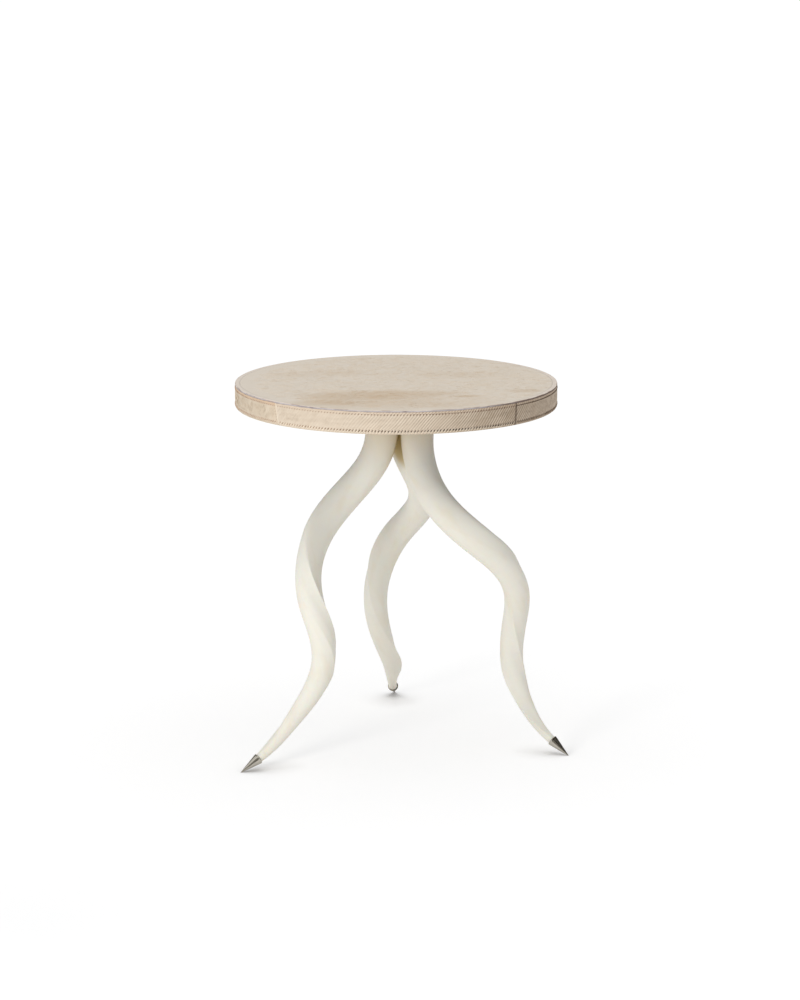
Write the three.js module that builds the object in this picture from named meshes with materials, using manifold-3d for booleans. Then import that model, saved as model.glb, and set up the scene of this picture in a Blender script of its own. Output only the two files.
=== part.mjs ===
// A round side table: a hide-covered disc top on three spiral horns with metal feet.
// Millimetres, +Z up. The floor is z = 0, and the rear foot points to about +Y.

import * as THREE from 'three';
import { NURBSCurve } from 'three/addons/curves/NURBSCurve.js';
import { mergeVertices } from 'three/addons/utils/BufferGeometryUtils.js';
import Module from 'manifold-3d';

// The whole table.
const tableHeight = 620;
const topDiameter = 540;
const fitGap = 0.3; // between a piece and its seat
const cutOverrun = 5; // how far a cut runs past the face it opens

// The top: two board discs, a hide disc above, hide strips round the edge, a lining below.
const hideThickness = 2;
const upperBoardThickness = 18;
const lowerBoardThickness = 18;
const liningThickness = 2;
const bandInset = 0.5; // the top hide's cut edge stands out past the edge strips
const bandFoldWidth = 24; // the strip's turned-under part
const bandCornerRadius = 4; // where the strip turns under
const topEdgeEase = 0.6;
const seamGap = 0.7;
const seamAzimuths = [41, 130, 219, 312]; // degrees

// The steel plate under the top and its wood screws.
const plateDiameter = 150;
const plateThickness = 6;
const plateOffset = 6; // it is screwed on a little to the right of the top's centre
const plateEdgeEase = 1;
const recessClearance = 1;
const plateScrewCount = 6;
const screwEdgeDistance = 13; // from the plate's rim to a screw's axis
const screwShankDiameter = 4.5;
const screwHeadDiameter = 9;
const screwHeadHeight = 2.6;
const screwLength = 18;
const screwPointLength = 4;
const screwClearance = 0.4;

// One bolt, washer and threaded insert hold each horn.
const boltDiameter = 10;
const boltLength = 30;
const boltHeadFlats = 16;
const boltHeadHeight = 6.4;
const boltClearance = 0.5;
const washerDiameter = 21;
const washerThickness = 2;
const insertDiameter = 14;
const insertLength = 25;
const pocketDiameter = 26;
const pocketHeadroom = 1.6;

// The horn, from its root under the plate to its end.
const hornRootDiameter = 55;
const hornRootSpacing = 3.9; // between one root and the next
const hornReach = 250; // outwards, from the root's axis to the end
const hornSway = 50; // sideways
const keelSharpness = 6;
const keelStart = 148; // degrees, from outwards towards the horn's right
const keelTurns = -1.26;
const hornRings = 52;
const hornSides = 18;
// Reach, sway, girth and the keel's height over the girth, at even steps down the horn.
const hornShares = [
  [0, 0, 1, 0],
  [0, 0, 1.05, 0.1],
  [-0.01, -0.08, 1, 0.1],
  [0.04, -0.32, 0.93, 0],
  [0.2, -0.86, 0.95, 0.05],
  [0.43, -0.82, 0.9, 0.25],
  [0.63, -0.04, 0.79, 0.3],
  [0.69, 0.56, 0.8, 0.25],
  [0.64, 0.92, 0.75, 0.15],
  [0.61, 0.93, 0.73, 0],
  [0.67, 0.67, 0.64, 0.11],
  [0.82, 0.38, 0.46, 0.69],
  [0.94, 0.39, 0.3, 0.7],
  [1.05, 0.32, 0.25, 0.1],
];

// The metal foot and the stud that it screws on to.
const footDiameter = 18.5;
const footLength = 41;
const footRimHeight = 1;
const footWear = 1; // the height that the floor takes off the cone's point
const studDiameter = 6;
const studInHorn = 14;
const studInFoot = 12;
const studEase = 0.8;

// The castings differ a little: each horn is turned about its bolt, leans to one side over its
// whole length, and reaches out more or less near its end. Both are shares of the reach.
const legs = [
  { name: 'rear', azimuth: 90, turn: -1, leanShare: -0.102, stretchShare: 0.074 },
  { name: 'left', azimuth: 210, turn: 0.5, leanShare: 0.043, stretchShare: 0.036 },
  { name: 'right', azimuth: 330, turn: -0.5, leanShare: 0.072, stretchShare: -0.113 },
];
const stretchPower = 4;

// Facets round the top, the plate, the small turned pieces and a bolt's head.
const discSides = 96;
const plateSides = 48;
const turnedSides = 12;
const hexSides = 6;
const cornerSteps = 2;

// Levels and radii that follow from the sizes above.
const topRadius = topDiameter / 2;
const bandRadius = topRadius - bandInset;
const boardRadius = bandRadius - hideThickness - fitGap;
const hideBottom = tableHeight - hideThickness;
const upperBoardBottom = hideBottom - upperBoardThickness;
const lowerBoardBottom = upperBoardBottom - lowerBoardThickness;
const undersideHeight = lowerBoardBottom - liningThickness;
const plateTop = undersideHeight + plateThickness;
const recessRadius = plateDiameter / 2 + recessClearance;
const boltSeat = plateTop + washerThickness;
const hornRootHeight = undersideHeight - fitGap;
const rootRadius = hornRootDiameter / 2;
const boltCircleRadius = (hornRootDiameter + hornRootSpacing) / 2 / Math.sin(Math.PI / legs.length);

const toRadians = THREE.MathUtils.degToRad;
const wasm = await Module();
wasm.setup();

function toSolid(geometry) {
  const welded = geometry.clone();
  welded.deleteAttribute('normal');
  welded.deleteAttribute('uv');
  const merged = mergeVertices(welded);
  const vertProperties = new Float32Array(merged.attributes.position.array);
  const triVerts = new Uint32Array(merged.index.array);
  return new wasm.Manifold(new wasm.Mesh({ numProp: 3, vertProperties, triVerts }));
}

function toGeometry(solid) {
  const mesh = solid.getMesh();
  const geometry = new THREE.BufferGeometry();
  geometry.setAttribute('position', new THREE.BufferAttribute(mesh.vertProperties, mesh.numProp));
  geometry.setIndex(new THREE.BufferAttribute(mesh.triVerts, 1));
  geometry.computeVertexNormals();
  return geometry;
}

function cut(geometry, tools) {
  return toGeometry(tools.reduce((solid, tool) => solid.subtract(toSolid(tool)), toSolid(geometry)));
}

// A turned piece about Z, from [radius, height] pairs that run from the bottom up.
function turned(profile, sides = turnedSides) {
  const points = profile.map(([radius, height]) => new THREE.Vector2(radius, height));
  return new THREE.LatheGeometry(points, sides).rotateX(Math.PI / 2);
}

function disc(radius, bottom, top, sides = turnedSides) {
  return turned([[0, bottom], [radius, bottom], [radius, top], [0, top]], sides);
}

// A closed body through rings of points that all follow one outline, counter-clockwise.
function loft(rings, outline) {
  const sides = outline.length;
  const last = (rings.length - 1) * sides;
  const index = [];
  for (let start = 0; start < last; start += sides) {
    for (let side = 0; side < sides; side += 1) {
      const here = start + side;
      const next = start + ((side + 1) % sides);
      index.push(here, next, next + sides, here, next + sides, here + sides);
    }
  }
  for (const [a, b, c] of THREE.ShapeUtils.triangulateShape(outline, [])) {
    index.push(c, b, a, a + last, b + last, c + last);
  }
  const geometry = new THREE.BufferGeometry().setFromPoints(rings.flat());
  geometry.setIndex(index);
  geometry.computeVertexNormals();
  return geometry;
}

function around(count, radius) {
  return Array.from({ length: count }, (_, index) => {
    const angle = (index * 2 * Math.PI) / count;
    return new THREE.Vector2(radius * Math.cos(angle), radius * Math.sin(angle));
  });
}

const finishes = {
  hide: { color: 0xd8cab8, roughness: 0.8, metalness: 0 },
  board: { color: 0xc6a87c, roughness: 0.75, metalness: 0 },
  lining: { color: 0x2c2825, roughness: 0.9, metalness: 0 },
  plate: { color: 0x2a2a2c, roughness: 0.5, metalness: 0.6 },
  steel: { color: 0xa8a9ab, roughness: 0.4, metalness: 0.9 },
  brass: { color: 0xb89a5a, roughness: 0.4, metalness: 0.9 },
  horn: { color: 0xece9dc, roughness: 0.4, metalness: 0 },
  foot: { color: 0xc4c0ba, roughness: 0.12, metalness: 1 },
};

function piece(name, finish, geometry) {
  const mesh = new THREE.Mesh(geometry, new THREE.MeshStandardMaterial(finishes[finish]));
  mesh.name = name;
  return mesh;
}

// The top's boards. The lower one is let in for the plate, the bolt heads and the screws.
const boltPlaces = legs.map(({ azimuth }) => {
  const angle = toRadians(azimuth);
  return new THREE.Vector2(Math.cos(angle), Math.sin(angle)).multiplyScalar(boltCircleRadius);
});
const screwPlaces = around(plateScrewCount, plateDiameter / 2 - screwEdgeDistance);

function at(place, geometry) {
  return geometry.translate(place.x + plateOffset, place.y, 0);
}

function lowerBoard() {
  const below = lowerBoardBottom - cutOverrun;
  const pocketTop = boltSeat + boltHeadHeight + pocketHeadroom;
  const pilotRadius = screwShankDiameter / 2 + screwClearance;
  const pilotTop = undersideHeight + screwLength + screwClearance;
  return cut(disc(boardRadius, lowerBoardBottom, upperBoardBottom, discSides), [
    at(new THREE.Vector2(), disc(recessRadius, below, plateTop, plateSides)),
    ...boltPlaces.map((place) => at(place, disc(pocketDiameter / 2, below, pocketTop))),
    ...screwPlaces.map((place) => at(place, disc(pilotRadius, below, pilotTop))),
  ]);
}

function topHide() {
  return turned([
    [0, hideBottom],
    [topRadius, hideBottom],
    [topRadius, tableHeight - topEdgeEase],
    [topRadius - topEdgeEase, tableHeight],
    [0, tableHeight],
  ], discSides);
}

// One strip of the edge: down the side, round the lower corner and in under the board.
function edgeBand(start, end) {
  const outline = new THREE.Shape();
  const foldEnd = bandRadius - bandFoldWidth;
  const inside = bandRadius - hideThickness;
  outline.moveTo(foldEnd, lowerBoardBottom);
  outline.lineTo(foldEnd, undersideHeight);
  outline.absarc(
    bandRadius - bandCornerRadius, undersideHeight + bandCornerRadius, bandCornerRadius,
    -Math.PI / 2, 0, false,
  );
  outline.lineTo(bandRadius, hideBottom);
  outline.lineTo(inside, hideBottom);
  outline.lineTo(inside, lowerBoardBottom);
  const points = outline.getPoints(cornerSteps);
  const seam = seamGap / bandRadius / 2;
  const steps = discSides / seamAzimuths.length;
  const rings = Array.from({ length: steps + 1 }, (_, step) => {
    const angle = THREE.MathUtils.lerp(end - seam, start + seam, step / steps);
    return points.map(({ x, y }) => new THREE.Vector3(x * Math.cos(angle), x * Math.sin(angle), y));
  });
  return loft(rings, points);
}

function lining() {
  const radius = bandRadius - bandFoldWidth - fitGap;
  const disk = disc(radius, undersideHeight, lowerBoardBottom, discSides);
  const hole = disc(recessRadius, undersideHeight - cutOverrun, lowerBoardBottom + cutOverrun, plateSides);
  return cut(disk, [at(new THREE.Vector2(), hole)]);
}

// The plate, drilled for the bolts and countersunk from below for the screws.
function mountingPlate() {
  const radius = plateDiameter / 2;
  const blank = turned([
    [0, undersideHeight],
    [radius - plateEdgeEase, undersideHeight],
    [radius, undersideHeight + plateEdgeEase],
    [radius, plateTop],
    [0, plateTop],
  ], plateSides);
  const below = undersideHeight - cutOverrun;
  const above = plateTop + cutOverrun;
  const shank = screwShankDiameter / 2 + screwClearance;
  const head = screwHeadDiameter / 2 + screwClearance;
  const sink = [
    [0, below],
    [head, below],
    [head, undersideHeight],
    [shank, undersideHeight + screwHeadHeight],
    [shank, above],
    [0, above],
  ];
  const boltHole = boltDiameter / 2 + boltClearance;
  return cut(at(new THREE.Vector2(), blank), [
    ...boltPlaces.map((place) => at(place, disc(boltHole, below, above))),
    ...screwPlaces.map((place) => at(place, turned(sink))),
  ]);
}

function plateScrew(place) {
  const shank = screwShankDiameter / 2;
  const head = screwHeadDiameter / 2;
  const tip = undersideHeight + screwLength;
  return at(place, turned([
    [0, undersideHeight],
    [head, undersideHeight],
    [shank, undersideHeight + screwHeadHeight],
    [shank, tip - screwPointLength],
    [0, tip],
  ]));
}

// The fastenings of one horn, on its bolt's axis.
function legBolt() {
  const acrossCorners = boltHeadFlats / Math.cos(Math.PI / hexSides) / 2;
  const head = disc(acrossCorners, boltSeat, boltSeat + boltHeadHeight, hexSides);
  const shank = disc(boltDiameter / 2, boltSeat - boltLength, boltSeat + boltHeadHeight / 2);
  return toGeometry(toSolid(head).add(toSolid(shank)));
}

// A ring about Z between two radii and two heights.
function sleeve(inner, outer, bottom, top) {
  return turned([[inner, bottom], [outer, bottom], [outer, top], [inner, top], [inner, bottom]]);
}

// The curves of one horn: evenly stepped down, with reach and sway from the shares. It ends at the
// height from which its foot's cone just reaches the floor.
function hornCurves({ leanShare, stretchShare }) {
  const degree = 3;
  const count = hornShares.length;
  const spans = count - degree;
  const knots = Array.from({ length: count + degree + 1 }, (_, index) => {
    return THREE.MathUtils.clamp((index - degree) / spans, 0, 1);
  });
  const downs = hornShares.map((_, index) => {
    return (knots[index + 1] + knots[index + 2] + knots[index + 3]) / degree;
  });
  const run = hornShares.map(([reachShare, swayShare], index) => {
    // The first step keeps upright, so that the root sits flat under the plate.
    const bend = Math.max(downs[index] - downs[1], 0) / (1 - downs[1]);
    const reach = (reachShare + stretchShare * bend ** stretchPower) * hornReach;
    return new THREE.Vector4(reach, swayShare * hornSway + leanShare * bend * hornReach, 0, 1);
  });
  const lastStep = run[count - 1].clone().sub(run[count - 2]);
  const lastDrop = (hornRootHeight - footLength / 2) * (downs[count - 1] - downs[count - 2]);
  const endHeight = (footLength * lastDrop) / Math.hypot(lastStep.x, lastStep.y, lastDrop) - footWear;
  run.forEach((point, index) => {
    point.z = THREE.MathUtils.lerp(hornRootHeight, endHeight, downs[index]);
  });
  const girth = hornShares.map(([, , girthShare, keelShare]) => {
    return new THREE.Vector4(girthShare * rootRadius, keelShare, 0, 1);
  });
  return { run: new NURBSCurve(degree, knots, run), girth: new NURBSCurve(degree, knots, girth) };
}

// The frame across a horn at a share of its length: outwards, to its right, and along it.
function hornFrame({ run }, share) {
  const along = run.getTangent(share);
  const outwards = new THREE.Vector3(1, 0, 0).addScaledVector(along, -along.x).normalize();
  const right = new THREE.Vector3().crossVectors(along, outwards);
  return new THREE.Matrix4().makeBasis(outwards, right, along).setPosition(run.getPoint(share));
}

// The round section with its keel, which winds down the horn.
function hornRadius({ girth }, share, angle) {
  const { x: radius, y: keelShare } = girth.getPoint(share);
  const keelAngle = toRadians(keelStart + 360 * keelTurns * share);
  return radius * (1 + keelShare * Math.exp(keelSharpness * (Math.cos(angle - keelAngle) - 1)));
}

function horn(curves) {
  const outline = around(hornSides, rootRadius);
  const rings = Array.from({ length: hornRings + 1 }, (_, ring) => {
    const share = ring / hornRings;
    const frame = hornFrame(curves, share);
    return outline.map((point) => {
      const angle = Math.atan2(point.y, point.x);
      const radius = hornRadius(curves, share, angle);
      const offset = new THREE.Vector3(radius * Math.cos(angle), radius * Math.sin(angle), 0);
      return offset.applyMatrix4(frame);
    });
  });
  const insertHole = disc(
    insertDiameter / 2 + fitGap, hornRootHeight - insertLength - fitGap, hornRootHeight + cutOverrun,
  );
  const studHole = disc(studDiameter / 2 + fitGap, -studInHorn - fitGap, cutOverrun);
  return cut(loft(rings, outline), [insertHole, studHole.applyMatrix4(hornFrame(curves, 1))]);
}

function tipStud(curves) {
  const radius = studDiameter / 2;
  const stud = turned([
    [0, -studInHorn],
    [radius - studEase, -studInHorn],
    [radius, studEase - studInHorn],
    [radius, studInFoot - studEase],
    [radius - studEase, studInFoot],
    [0, studInFoot],
  ]);
  return stud.applyMatrix4(hornFrame(curves, 1));
}

// A cone whose point is flattened where it meets the floor.
function footTip(curves) {
  const radius = footDiameter / 2;
  const cone = turned([
    [0, fitGap],
    [radius, fitGap],
    [radius, fitGap + footRimHeight],
    [0, footLength],
  ], 2 * turnedSides);
  const studHole = disc(studDiameter / 2 + fitGap, -cutOverrun, studInFoot + fitGap);
  const floor = new THREE.BoxGeometry(tableHeight, tableHeight, footLength);
  floor.translate(hornReach, 0, -footLength / 2);
  const frame = hornFrame(curves, 1);
  return cut(cone.applyMatrix4(frame), [studHole.applyMatrix4(frame), floor]);
}

const top = new THREE.Group();
top.add(
  piece('top_hide', 'hide', topHide()),
  piece('upper_board', 'board', disc(boardRadius, upperBoardBottom, hideBottom, discSides)),
  piece('lower_board', 'board', lowerBoard()),
  piece('underside_lining', 'lining', lining()),
  piece('mounting_plate', 'plate', mountingPlate()),
);
seamAzimuths.forEach((azimuth, index) => {
  const next = seamAzimuths[index + 1] ?? seamAzimuths[0] + 360;
  top.add(piece(`edge_band_${index + 1}`, 'hide', edgeBand(toRadians(azimuth), toRadians(next))));
});
screwPlaces.forEach((place, index) => {
  top.add(piece(`plate_screw_${index + 1}`, 'steel', plateScrew(place)));
});

const table = new THREE.Group();
table.add(top);
for (const { name, azimuth, turn, ...shares } of legs) {
  const curves = hornCurves(shares);
  const leg = new THREE.Group();
  leg.position.x = plateOffset;
  leg.rotation.z = toRadians(azimuth);
  const seat = new THREE.Group();
  seat.position.x = boltCircleRadius;
  seat.rotation.z = toRadians(turn);
  const washerHole = boltDiameter / 2 + boltClearance;
  seat.add(
    piece(`leg_bolt_${name}`, 'steel', legBolt()),
    piece(`leg_washer_${name}`, 'steel', sleeve(washerHole, washerDiameter / 2, plateTop, boltSeat)),
    piece(`leg_insert_${name}`, 'brass', sleeve(
      boltDiameter / 2 + fitGap, insertDiameter / 2, hornRootHeight - insertLength, hornRootHeight,
    )),
    piece(`horn_leg_${name}`, 'horn', horn(curves)),
    piece(`tip_stud_${name}`, 'steel', tipStud(curves)),
    piece(`foot_tip_${name}`, 'foot', footTip(curves)),
  );
  leg.add(seat);
  table.add(leg);
}

// The origin is on the floor, at the middle of the table's outer box.
table.updateMatrixWorld(true);
const middle = new THREE.Box3().setFromObject(table, true).getCenter(new THREE.Vector3());
table.position.set(-middle.x, -middle.y, 0);

const group = new THREE.Group();
group.add(table);

export default group;
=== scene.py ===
import math

import bpy
import numpy as np
from mathutils import Matrix, Vector


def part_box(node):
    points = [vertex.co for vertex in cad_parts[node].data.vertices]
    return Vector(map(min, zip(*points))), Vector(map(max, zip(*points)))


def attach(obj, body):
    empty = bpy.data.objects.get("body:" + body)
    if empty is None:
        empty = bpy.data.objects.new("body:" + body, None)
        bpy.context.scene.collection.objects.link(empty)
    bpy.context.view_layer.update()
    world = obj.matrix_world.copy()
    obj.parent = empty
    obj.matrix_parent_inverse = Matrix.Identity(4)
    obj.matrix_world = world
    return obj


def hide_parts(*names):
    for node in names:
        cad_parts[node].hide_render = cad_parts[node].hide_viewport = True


# A round side table in hair-on hide on three spiral horns, dressed over its CAD frame.
# Metres and degrees, in the row frame. Hair and thread are laid out in millimetres on each surface.
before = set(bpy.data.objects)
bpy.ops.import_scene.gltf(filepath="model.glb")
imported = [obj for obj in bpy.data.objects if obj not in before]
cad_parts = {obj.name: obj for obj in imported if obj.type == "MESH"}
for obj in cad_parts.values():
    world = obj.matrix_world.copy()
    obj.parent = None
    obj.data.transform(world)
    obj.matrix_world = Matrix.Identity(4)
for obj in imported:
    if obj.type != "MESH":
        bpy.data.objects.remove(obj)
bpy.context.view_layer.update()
print("frame:", len(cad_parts), "nodes")

mm = 0.001
chance = np.random.default_rng(7)


# What the frame says: the top's axis and levels, the plate's middle, and each leg's bolt.
def middleOf(node):
    low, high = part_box(node)
    return (low + high) / 2


topLow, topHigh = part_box("top_hide")
axis = middleOf("top_hide")
topRadius = (topHigh.x - topLow.x) / 2
tableHeight = topHigh.z
hideBottom = topLow.z
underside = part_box("edge_band_1")[0].z
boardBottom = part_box("lower_board")[0].z
plateMiddle = middleOf("mounting_plate")
origin = Vector((0, 0, 0))


# A wire is one socket of a shader, and sums on wires add Math nodes.
class Wire:
    def __init__(self, finish, socket):
        self.finish = finish
        self.socket = socket

    def __add__(self, other):
        return self.finish.math("ADD", self, other)

    def __radd__(self, other):
        return self.finish.math("ADD", other, self)

    def __sub__(self, other):
        return self.finish.math("SUBTRACT", self, other)

    def __rsub__(self, other):
        return self.finish.math("SUBTRACT", other, self)

    def __mul__(self, other):
        return self.finish.math("MULTIPLY", self, other)

    def __rmul__(self, other):
        return self.finish.math("MULTIPLY", other, self)

    def __truediv__(self, other):
        return self.finish.math("DIVIDE", self, other)

    def __rtruediv__(self, other):
        return self.finish.math("DIVIDE", other, self)


class Finish:
    def __init__(self, name, constants):
        self.material = bpy.data.materials.new(name)
        self.material.use_nodes = True
        self.nodes = self.material.node_tree.nodes
        self.links = self.material.node_tree.links
        self.shader = self.nodes["Principled BSDF"]
        for place, value in constants.items():
            self.shader.inputs[place].default_value = value

    def feed(self, socket, value):
        if isinstance(value, Wire):
            self.links.new(value.socket, socket)
        else:
            socket.default_value = value

    def add(self, kind, settings=None, inputs=None, output=0):
        node = self.nodes.new(kind)
        for setting, value in (settings or {}).items():
            setattr(node, setting, value)
        for place, value in (inputs or {}).items():
            self.feed(node.inputs[place], value)
        return Wire(self, node.outputs[output])

    def math(self, operation, *values):
        return self.add("ShaderNodeMath", {"operation": operation}, dict(enumerate(values)))

    def vector(self, x, y, z):
        return self.add("ShaderNodeCombineXYZ", None, {0: x, 1: y, 2: z})

    def parts(self, vector):
        split = self.add("ShaderNodeSeparateXYZ", None, {0: vector})
        return [Wire(self, socket) for socket in split.socket.node.outputs]

    def place(self):
        return self.add("ShaderNodeTexCoord", output="Object")

    def layer(self, name):
        return self.add("ShaderNodeAttribute", {"attribute_name": name}, output="Vector")

    def noise(self, place, scale, detail=2.0, roughness=0.5):
        inputs = {"Vector": place, "Scale": scale, "Detail": detail, "Roughness": roughness}
        return self.add("ShaderNodeTexNoise", None, inputs)

    def square(self, value):
        return self.math("POWER", value, 2.0)

    def length(self, x, y):
        return self.math("SQRT", self.square(x) + self.square(y))

    # 0 below low, 1 above high and smooth between; the other way round where low is the higher.
    def rise(self, value, low, high):
        inputs = {"Value": value, "From Min": low, "From Max": high}
        return self.add("ShaderNodeMapRange", {"interpolation_type": "SMOOTHSTEP"}, inputs)

    # 1 on a line at centre, down to 0 at reach from it.
    def line(self, value, centre, reach):
        return self.rise(self.math("ABSOLUTE", value - centre), reach, 0.0)

    def mix(self, share, first, second, kind="MIX"):
        settings = {"data_type": "RGBA", "blend_type": kind}
        return self.add("ShaderNodeMix", settings, {0: share, 6: first, 7: second}, 2)

    # Multiplies a colour by another, by a share.
    def tint(self, share, colour, by):
        return self.mix(share, colour, by, "MULTIPLY")

    def bump(self, height, distance, strength=1.0):
        inputs = {"Height": height, "Distance": distance, "Strength": strength}
        return self.add("ShaderNodeBump", None, inputs)

    def wear(self, **links):
        for name, value in links.items():
            self.feed(self.shader.inputs[name.replace("_", " ")], value)
        return self


# A colour as it is read off a screen, from 0 to 255, for a shader.
def paint(*levels):
    shares = [level / 255 for level in levels]
    linear = [s / 12.92 if s <= 0.04045 else ((s + 0.055) / 1.055) ** 2.4 for s in shares]
    return (*linear, 1.0)


# Values side by side as points, each spread to the same shape.
def columns(*values):
    return np.stack(np.broadcast_arrays(*values), -1)


def evenAngles(sides):
    return np.arange(sides) * 2 * math.pi / sides


def around(middle, radius, angle, height):
    return columns(middle.x + radius * np.cos(angle), middle.y + radius * np.sin(angle), height)


# Quads between rings of points, closed round each ring, and one face over each end.
# The rings run counter-clockwise as seen from the last one's end.
def loftFaces(rings, sides):
    here = np.arange(sides)
    after = (here + 1) % sides
    starts = np.arange(rings - 1)[:, None] * sides
    quads = np.stack([starts + here, starts + after, starts + after + sides, starts + here + sides], -1)
    last = (rings - 1) * sides
    return [*quads.reshape(-1, 4).tolist(), here[::-1].tolist(), (here + last).tolist()]


# A turned body about Z from (radius, height) pairs that run from the bottom up, both ends on the axis.
def latheMesh(profile, sides):
    rings = [around(origin, radius, evenAngles(sides), height) for radius, height in profile[1:-1]]
    points = np.concatenate([*rings, [(0, 0, profile[0][1])], [(0, 0, profile[-1][1])]])
    faces = loftFaces(len(rings), sides)[:-2]
    low = len(points) - 2
    lastRing = (len(rings) - 1) * sides
    for side in range(sides):
        after = (side + 1) % sides
        faces.append([low, after, side])
        faces.append([low + 1, lastRing + side, lastRing + after])
    return points, faces


# Many short closed tubes at once, along paths of (count, stations, 3). Each keeps its flat side to up.
def tubeMesh(paths, radii, up, sides, flat):
    along = np.gradient(paths, axis=1)
    along /= np.linalg.norm(along, axis=2, keepdims=True)
    across = np.cross(up[:, None, :], along)
    across /= np.linalg.norm(across, axis=2, keepdims=True)
    over = np.cross(along, across) * flat
    angles = evenAngles(sides)
    ring = across[:, :, None, :] * np.cos(angles)[:, None] + over[:, :, None, :] * np.sin(angles)[:, None]
    points = paths[:, :, None, :] + radii[:, :, None, None] * ring
    count, stations = paths.shape[:2]
    pattern = loftFaces(stations, sides)
    starts = np.arange(count) * stations * sides
    quads = np.array(pattern[:-2])[None] + starts[:, None, None]
    caps = np.array(pattern[-2:])[None] + starts[:, None, None]
    return points.reshape(-1, 3), [*quads.reshape(-1, 4).tolist(), *caps.reshape(-1, sides).tolist()]


def addObject(name, data):
    added = bpy.data.objects.new(name, data)
    bpy.context.scene.collection.objects.link(added)
    return added


def addMesh(name, points, faces, finishes):
    mesh = bpy.data.meshes.new(name)
    mesh.from_pydata(np.asarray(points).tolist(), [], faces)
    for finish in finishes:
        mesh.materials.append(finish.material)
    return addObject(name, mesh)


# One piece of the table, from its points, its faces and the layers that its finish reads, if any.
# It rides on the body, wears its finishes and stands for the nodes it replaces.
def makePiece(name, shape, finishes, replaced=(), sharpAngle=40, faceFinish=None):
    points, faces, *layers = shape
    piece = addMesh(name, points, faces, finishes)
    mesh = piece.data
    for layer, values in (layers[0] if layers else {}).items():
        made = mesh.attributes.new(layer, "FLOAT_VECTOR", "POINT")
        made.data.foreach_set("vector", np.asarray(values, dtype=np.float32).ravel())
    if faceFinish is not None:
        mesh.polygons.foreach_set("material_index", np.asarray(faceFinish, dtype=np.int32))
    mesh.shade_smooth()
    mesh.set_sharp_from_angle(angle=math.radians(sharpAngle))
    mesh.update()
    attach(piece, "root")
    if replaced:
        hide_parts(*replaced)


# Each slow wave has a seed of its own. Those of the strips and seams count on from it.
seeds = {"puff": 5, "uneven": 3, "ragged": 11, "swirl": 21, "lining": 31, "rawEdge": 40, "comb": 60}


# A slow uneven wave over a surface, from about -1 to 1: sines that cross, each shorter than the last.
# Its length is in the units of x and y.
def waver(x, y, length, kind, number=0):
    waves = 7
    turns = np.random.default_rng(seeds[kind] + number).uniform(0, 2 * math.pi, (waves, 2))
    total = 0
    for index, (heading, phase) in enumerate(turns):
        wave = 2 * math.pi / length * (0.7 + 0.17 * index)
        total = total + np.sin(wave * (x * math.cos(heading) + y * math.sin(heading)) + phase)
    return total / (waves / 2)


# Hair-on hide. Strands and locks are sized along the hair and across it, in millimetres.
hairValues = {
    "strand": (16, 1.9),
    "lock": (48, 7),
    "lockOffset": 4.0,  # so that the locks don't follow the strands
    "roughness": (0.62, 0.85),
    "bump": 0.5 * mm,
    "bumpShares": (0.6, 0.4),  # of the strands and of the locks
}


def hairWires(finish, along, across):
    length, width = hairValues["strand"]
    strand = finish.noise(finish.vector(along / length, across / width, 0.0), 1.0, 3.0, 0.55)
    length, width = hairValues["lock"]
    lock = finish.noise(finish.vector(along / length, across / width, hairValues["lockOffset"]), 1.0)
    return strand, lock


# A hide's finish as it is before its colour is laid on, and the last step, the same for top and edge.
def hairFinish(name, base, sheen):
    return Finish(name, {
        "Base Color": base,
        "Sheen Weight": sheen,
        "Sheen Roughness": 0.5,
        "Specular IOR Level": 0.25,
    })


def wearHair(finish, colour, strand, lock, strength):
    low, high = hairValues["roughness"]
    strandShare, lockShare = hairValues["bumpShares"]
    relief = finish.bump(strand * strandShare + lock * lockShare, hairValues["bump"], strength)
    return finish.wear(Base_Color=colour, Roughness=low + strand * (high - low), Normal=relief)


# The top: beige hair that lies mostly one way, with tan patches towards the front.
topHair = {
    "base": paint(239, 227, 210),
    "light": paint(242, 231, 216),
    "shade": paint(217, 201, 180),
    "tan": paint(216, 190, 156),
    "rim": paint(242, 229, 218),
    # painted shade in the pressed line inside the rim
    "rimLineShade": paint(190, 179, 168),
    # painted shade where the hair rounds over the corner to the cut
    "edge": paint(150, 116, 92),
    "sheen": 0.1,
    "relief": 0.4,
    "heading": 12,
    "swirl": 34,  # how far the hair's lines bend, in millimetres
    "swirlLength": 120,  # over what length, in millimetres
    "cloudLength": 70,
    "rimWidth": 8 * mm,
    "rimSides": (0.5, 0.9),  # the pale rim shows at the left and right, by these shares of the radius
    "rimBlend": 1.5,  # over what width it starts, in millimetres
    "rimLineShadeWidth": 1.4,  # half the width of the painted shade in the pressed line, where the rim starts
    "edgeShadeReach": (1.8, 0.5),  # where painted shade darkens the hair over the rounded corner to the cut, in millimetres inside it
    "edgeShadeLength": 30,  # of the stretches of edge that carry this painted shade
    # Tan patches: middle x and y from the axis, half length and half width, in millimetres, and strength.
    "patches": [
        (-52, -128, 120, 46, 0.68),
        (-118, -186, 84, 32, 0.62),
        (34, -112, 70, 26, 0.4),
        (98, -146, 26, 12, 0.6),
        (205, -104, 30, 14, 0.5),
        (20, -214, 70, 22, 0.35),
        (-30, -200, 175, 58, 0.34),
        (110, 60, 70, 34, 0.2),
        (-120, 90, 90, 36, 0.18),
    ],
}


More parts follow.
